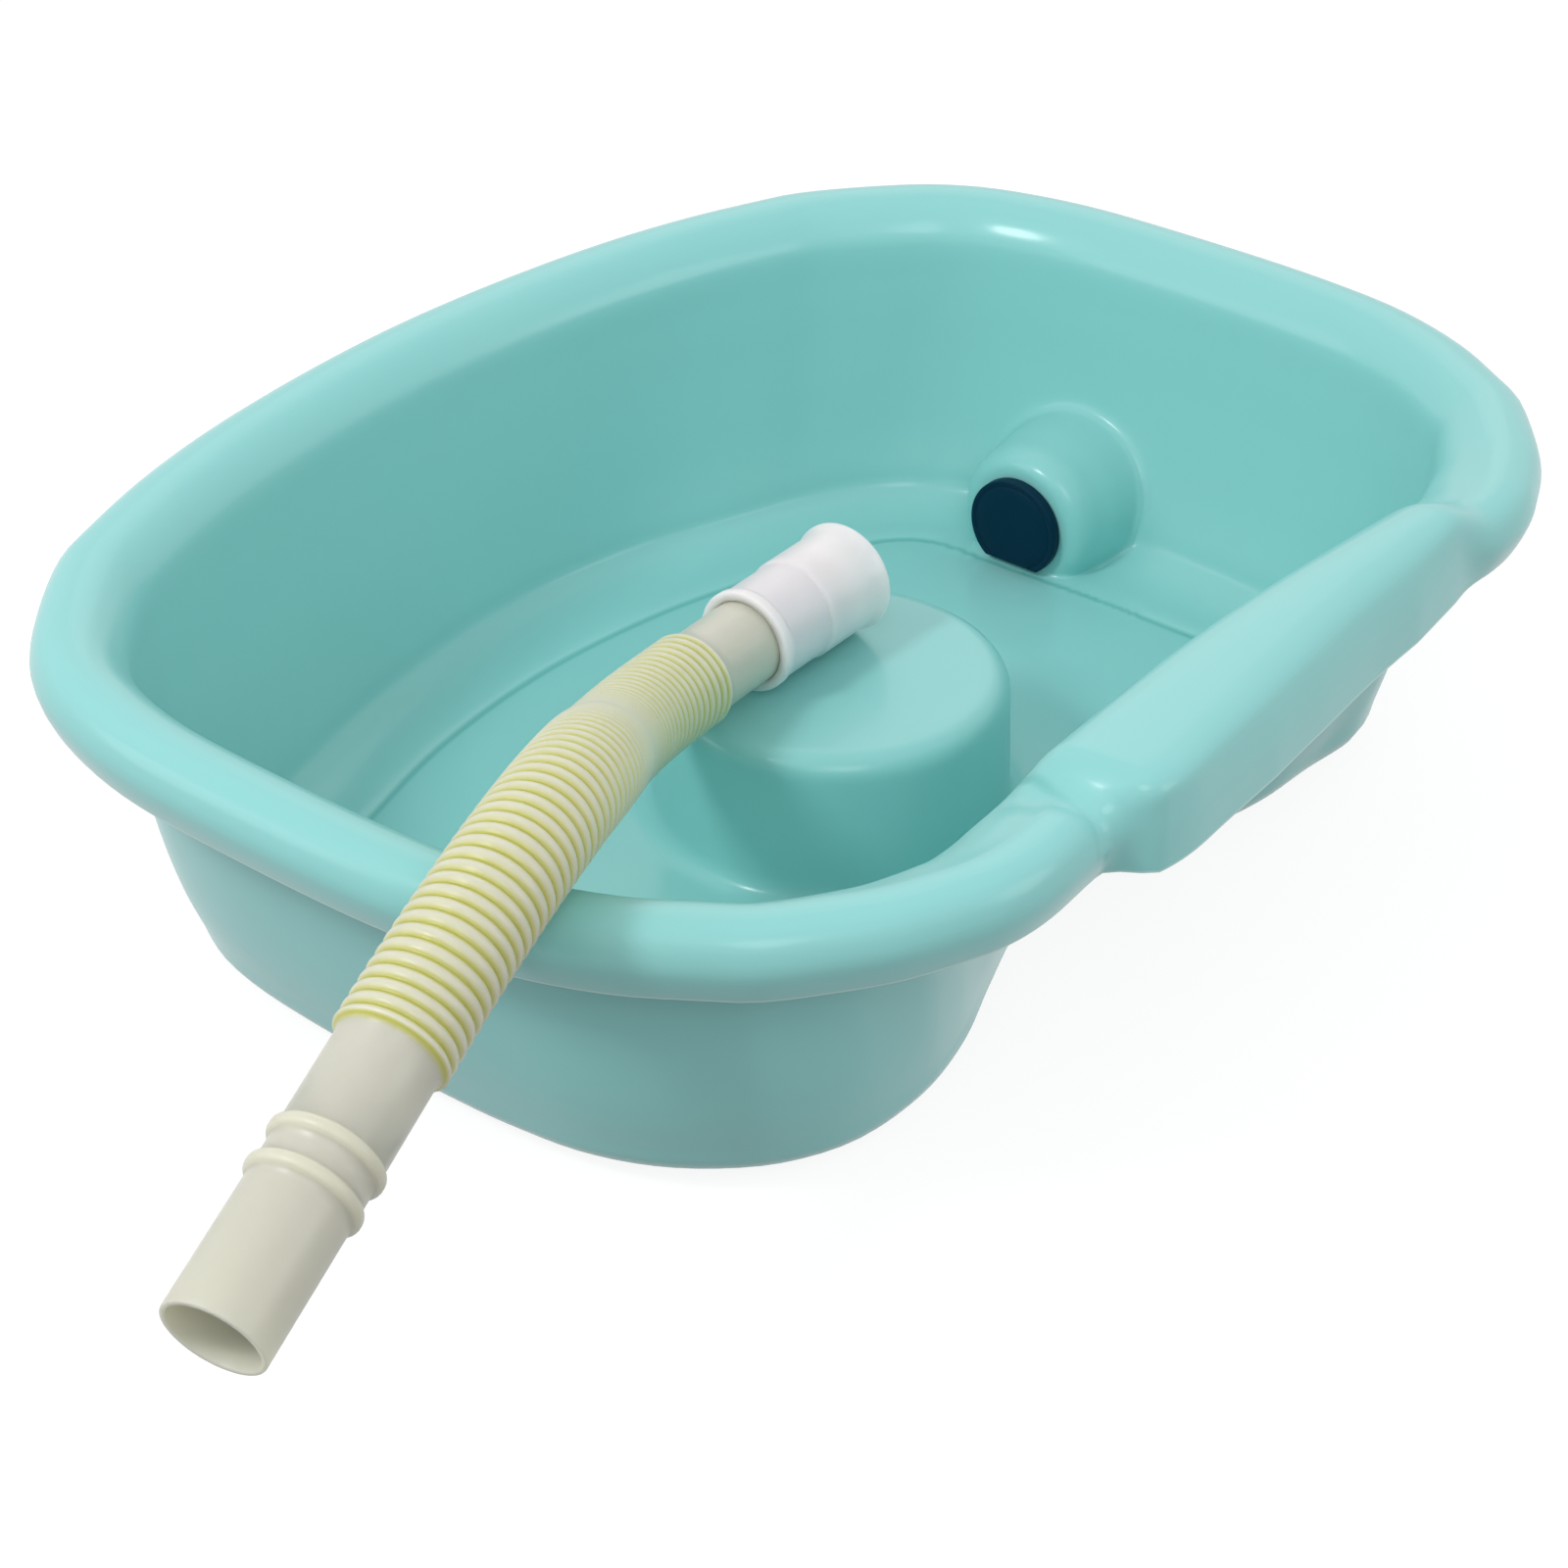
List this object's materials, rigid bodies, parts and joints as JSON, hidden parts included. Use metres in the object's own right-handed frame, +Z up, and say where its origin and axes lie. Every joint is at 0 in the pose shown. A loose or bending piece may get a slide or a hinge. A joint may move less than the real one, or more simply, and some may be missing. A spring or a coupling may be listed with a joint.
{
  "type": "portable shampoo basin",
  "caption": "Wide plastic shampoo basin with a raised neck rest, a round head support in the bowl, a pull-out drain plug and a loose ribbed drain hose with a push-on connector.",
  "frame": {"origin": "middle of the basin's bounding box, on the surface it stands on; the loose hose isn't counted", "axes": "+Z up, +Y along the basin's length towards the drain, +X towards the neck rest"},
  "size_m": [0.4156, 0.6765, 0.1677],
  "materials": {
    "basin": "satin-gloss moulded turquoise plastic",
    "plug": "satin dark navy rubber",
    "hose": "slightly translucent cream plastic",
    "connector": "translucent milky white plastic"
  },
  "bodies": {
    "basin": {"basin_shell": "basin"},
    "plug": {"drain_plug": "plug"},
    "hose": {"drain_hose": "hose", "hose_connector": "connector"}
  },
  "joints": [
    {"name": "plug_pull", "type": "slide", "parent": "basin", "child": "plug", "axis": [0, -1, 0], "range_m": [0, 0.03]},
    {"name": "hose_lift", "type": "slide", "parent": "basin", "child": "hose", "axis": [0, 0, 1], "range_m": [0, 0.15]}
  ]
}
